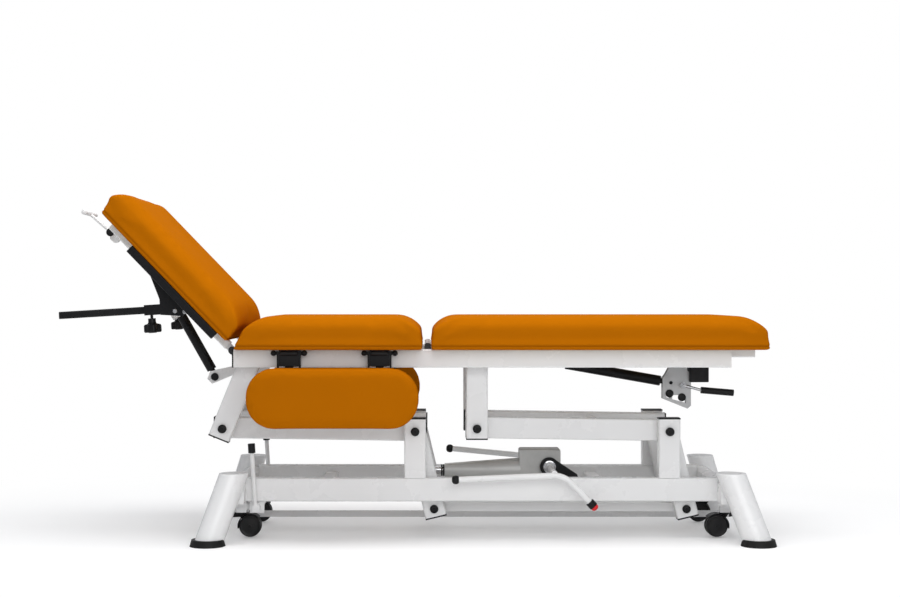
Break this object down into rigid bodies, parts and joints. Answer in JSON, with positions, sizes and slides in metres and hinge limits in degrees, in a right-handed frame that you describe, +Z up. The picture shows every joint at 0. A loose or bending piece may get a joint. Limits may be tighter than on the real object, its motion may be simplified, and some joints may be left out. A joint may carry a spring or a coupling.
{
  "type": "hydraulic massage table",
  "caption": "Treatment table with head, seat and leg sections on a foot-pumped lifting frame, with swing-down armrests, a tilting head section with sliding bars, and retractable castors.",
  "frame": {"origin": "on the floor, below the middle of the whole table's bounding box as it stands in the picture", "axes": "+X towards the foot end, +Y away from the viewer, +Z up"},
  "size_m": [1.9561, 0.7068, 0.9432],
  "materials": {
    "white_paint": "gloss",
    "black_paint": "satin",
    "pump_grey": "satin",
    "steel": "polished",
    "black_plastic": "matte",
    "red_plastic": "gloss",
    "black_rubber": "matte",
    "orange_vinyl": "satin",
    "plywood": "matte"
  },
  "bodies": {
    "base": {"base_side_rails": "white_paint", "base_cross_tubes": "white_paint", "base_posts": "white_paint", "base_plugs_and_bolts": "black_plastic", "end_beams": "white_paint", "foot_tubes": "white_paint", "foot_rings": "black_rubber", "pump_body": "pump_grey"},
    "left_crank": {"left_lift_crank": "white_paint", "left_crank_plugs": "black_plastic"},
    "right_crank": {"right_lift_crank": "white_paint", "right_crank_plugs": "black_plastic"},
    "ties": {"tie_bars": "white_paint"},
    "ram": {"pump_ram": "steel"},
    "pedals": {"pedal_rocker": "white_paint", "pedal_tips_and_crank": "black_plastic", "red_pedal_tip": "red_plastic"},
    "upper_frame": {"upper_side_rails": "white_paint", "upper_cross_tubes": "white_paint", "hinge_brackets": "white_paint", "hanging_posts": "white_paint", "upper_plugs_and_bolts": "black_plastic", "armrest_clamps": "black_paint", "seat_board": "plywood", "seat_cushion": "orange_vinyl", "spring_casting": "steel"},
    "head_section": {"head_frame": "white_paint", "head_board": "plywood", "head_cushion": "orange_vinyl", "head_side_rails": "black_paint", "bar_sleeves": "black_paint"},
    "stay": {"head_stay": "black_paint"},
    "tee": {"tee_handle": "white_paint"},
    "near_bar": {"near_extension_bar": "black_paint"},
    "far_bar": {"far_extension_bar": "black_paint"},
    "near_knob": {"near_star_knob": "black_plastic"},
    "far_knob": {"far_star_knob": "black_plastic"},
    "leg_section": {"leg_frame": "white_paint", "leg_board": "plywood", "leg_cushion": "orange_vinyl"},
    "spring_tube": {"leg_spring_tube": "black_paint"},
    "spring_rod": {"leg_spring_rod": "steel"},
    "release_lever": {"leg_release_lever": "steel", "leg_release_grip": "black_plastic"},
    "near_armrest": {"near_armrest_arms": "black_paint", "near_armrest_pad": "orange_vinyl"},
    "far_armrest": {"far_armrest_arms": "black_paint", "far_armrest_pad": "orange_vinyl"},
    "left_rocker": {"left_castor_rocker": "white_paint", "castor_lever_tips": "black_plastic"},
    "right_rocker": {"right_castor_rocker": "white_paint"},
    "castor_link_bar": {"castor_link": "white_paint"},
    "near_left_castor_swivel": {"near_left_castor_fork": "steel"},
    "near_left_castor_roller": {"near_left_castor_wheels": "black_rubber"},
    "near_right_castor_swivel": {"near_right_castor_fork": "steel"},
    "near_right_castor_roller": {"near_right_castor_wheels": "black_rubber"},
    "far_left_castor_swivel": {"far_left_castor_fork": "steel"},
    "far_left_castor_roller": {"far_left_castor_wheels": "black_rubber"},
    "far_right_castor_swivel": {"far_right_castor_fork": "steel"},
    "far_right_castor_roller": {"far_right_castor_wheels": "black_rubber"}
  },
  "joints": [
    {"name": "lift", "type": "hinge", "parent": "base", "child": "left_crank", "pos_m": [0, 0, 0.299], "axis": [0, 1, 0], "range_deg": [-10, 32]},
    {"name": "right_crank_turn", "type": "hinge", "parent": "base", "child": "right_crank", "pos_m": [0.707, 0, 0.299], "axis": [0, 1, 0], "range_deg": [-10, 32]},
    {"name": "upper_frame_level", "type": "hinge", "parent": "left_crank", "child": "upper_frame", "pos_m": [-0.535, 0, 0.307], "axis": [0, 1, 0], "range_deg": [-32, 10]},
    {"name": "ties_level", "type": "hinge", "parent": "left_crank", "child": "ties", "pos_m": [0.053, 0, 0.079], "axis": [0, 1, 0], "range_deg": [-32, 10]},
    {"name": "ram_slide", "type": "slide", "parent": "base", "child": "ram", "axis": [-1, 0, 0], "range_m": [-0.0235, 0.0745]},
    {"name": "pedal_turn", "type": "hinge", "parent": "base", "child": "pedals", "pos_m": [0.384, 0, 0.186], "axis": [0, 1, 0], "range_deg": [-20, 6], "stiffness_Nm_per_rad": 40, "springref_deg": 2.58},
    {"name": "head_tilt", "type": "hinge", "parent": "upper_frame", "child": "head_section", "pos_m": [-0.505, 0, 0.525], "axis": [0, 1, 0], "range_deg": [-46, 0]},
    {"name": "stay_turn", "type": "hinge", "parent": "upper_frame", "child": "stay", "pos_m": [-0.578, 0, 0.443], "axis": [0, 1, 0], "range_deg": [-46, 0]},
    {"name": "tee_turn", "type": "hinge", "parent": "head_section", "child": "tee", "pos_m": [-0.88105, 0, 0.85971], "axis": [0, 1, 0], "range_deg": [0, 15], "stiffness_Nm_per_rad": 3, "springref_deg": -5.73},
    {"name": "leg_tilt", "type": "hinge", "parent": "upper_frame", "child": "leg_section", "pos_m": [0.035, 0, 0.537], "axis": [0, -1, 0], "range_deg": [0, 25]},
    {"name": "spring_tube_turn", "type": "hinge", "parent": "upper_frame", "child": "spring_tube", "pos_m": [0.737, 0, 0.4255], "axis": [0, -1, 0], "range_deg": [-16.65, 0]},
    {"name": "spring_rod_turn", "type": "hinge", "parent": "leg_section", "child": "spring_rod", "pos_m": [0.336, 0, 0.496], "axis": [0, -1, 0], "range_deg": [-41.65, 0]},
    {"name": "release_turn", "type": "hinge", "parent": "upper_frame", "child": "release_lever", "pos_m": [0.771, 0, 0.4185], "axis": [0, -1, 0], "range_deg": [0, 12], "stiffness_Nm_per_rad": 4, "springref_deg": -8.59},
    {"name": "near_armrest_turn", "type": "hinge", "parent": "upper_frame", "child": "near_armrest", "pos_m": [-0.2195, -0.272, 0.52], "axis": [-1, 0, 0], "range_deg": [0, 90]},
    {"name": "far_armrest_turn", "type": "hinge", "parent": "upper_frame", "child": "far_armrest", "pos_m": [-0.2195, 0.272, 0.52], "axis": [1, 0, 0], "range_deg": [0, 90]},
    {"name": "castor_rock", "type": "hinge", "parent": "base", "child": "left_rocker", "pos_m": [-0.44, 0, 0.088], "axis": [0, 1, 0], "range_deg": [-10.2, 0]},
    {"name": "right_rocker_turn", "type": "hinge", "parent": "base", "child": "right_rocker", "pos_m": [0.911, 0, 0.088], "axis": [0, 1, 0], "range_deg": [-10.2, 0]},
    {"name": "castor_link_level", "type": "hinge", "parent": "left_rocker", "child": "castor_link_bar", "pos_m": [-0.455, 0, 0.046], "axis": [0, 1, 0], "range_deg": [0, 10.2]},
    {"name": "near_bar_slide", "type": "slide", "parent": "head_section", "child": "near_bar", "axis": [0.9981, 0, 0.0611], "range_m": [-0.05, 0.025]},
    {"name": "near_knob_spin", "type": "hinge", "parent": "head_section", "child": "near_knob", "pos_m": [-0.72332, -0.23, 0.60215], "axis": [-0.0611, 0, 0.9981], "continuous": true},
    {"name": "near_left_castor_turn", "type": "hinge", "parent": "left_rocker", "child": "near_left_castor_swivel", "pos_m": [-0.485, -0.15, 0.088], "axis": [0, 0, 1], "continuous": true},
    {"name": "near_left_castor_roll", "type": "hinge", "parent": "near_left_castor_swivel", "child": "near_left_castor_roller", "pos_m": [-0.461, -0.15, 0.034], "axis": [0, 1, 0], "continuous": true},
    {"name": "near_right_castor_turn", "type": "hinge", "parent": "right_rocker", "child": "near_right_castor_swivel", "pos_m": [0.866, -0.15, 0.088], "axis": [0, 0, 1], "continuous": true},
    {"name": "near_right_castor_roll", "type": "hinge", "parent": "near_right_castor_swivel", "child": "near_right_castor_roller", "pos_m": [0.842, -0.15, 0.034], "axis": [0, 1, 0], "continuous": true},
    {"name": "far_bar_slide", "type": "slide", "parent": "head_section", "child": "far_bar", "axis": [0.9981, 0, 0.0611], "range_m": [-0.05, 0.025]},
    {"name": "far_knob_spin", "type": "hinge", "parent": "head_section", "child": "far_knob", "pos_m": [-0.72332, 0.23, 0.60215], "axis": [-0.0611, 0, 0.9981], "continuous": true},
    {"name": "far_left_castor_turn", "type": "hinge", "parent": "left_rocker", "child": "far_left_castor_swivel", "pos_m": [-0.485, 0.15, 0.088], "axis": [0, 0, 1], "continuous": true},
    {"name": "far_left_castor_roll", "type": "hinge", "parent": "far_left_castor_swivel", "child": "far_left_castor_roller", "pos_m": [-0.461, 0.15, 0.034], "axis": [0, 1, 0], "continuous": true},
    {"name": "far_right_castor_turn", "type": "hinge", "parent": "right_rocker", "child": "far_right_castor_swivel", "pos_m": [0.866, 0.15, 0.088], "axis": [0, 0, 1], "continuous": true},
    {"name": "far_right_castor_roll", "type": "hinge", "parent": "far_right_castor_swivel", "child": "far_right_castor_roller", "pos_m": [0.842, 0.15, 0.034], "axis": [0, 1, 0], "continuous": true}
  ],
  "couplings": [
    {"joint": "right_crank_turn", "follows": "lift", "ratio": 1},
    {"joint": "upper_frame_level", "follows": "lift", "ratio": -1},
    {"joint": "ties_level", "follows": "lift", "ratio": -1},
    {"joint": "ram_slide", "follows": "lift", "m_per_rad": 0.1325},
    {"joint": "stay_turn", "follows": "head_tilt", "ratio": 1},
    {"joint": "spring_tube_turn", "follows": "leg_tilt", "ratio": -0.666},
    {"joint": "spring_rod_turn", "follows": "leg_tilt", "ratio": -1.666},
    {"joint": "right_rocker_turn", "follows": "castor_rock", "ratio": 1},
    {"joint": "castor_link_level", "follows": "castor_rock", "ratio": -1}
  ]
}
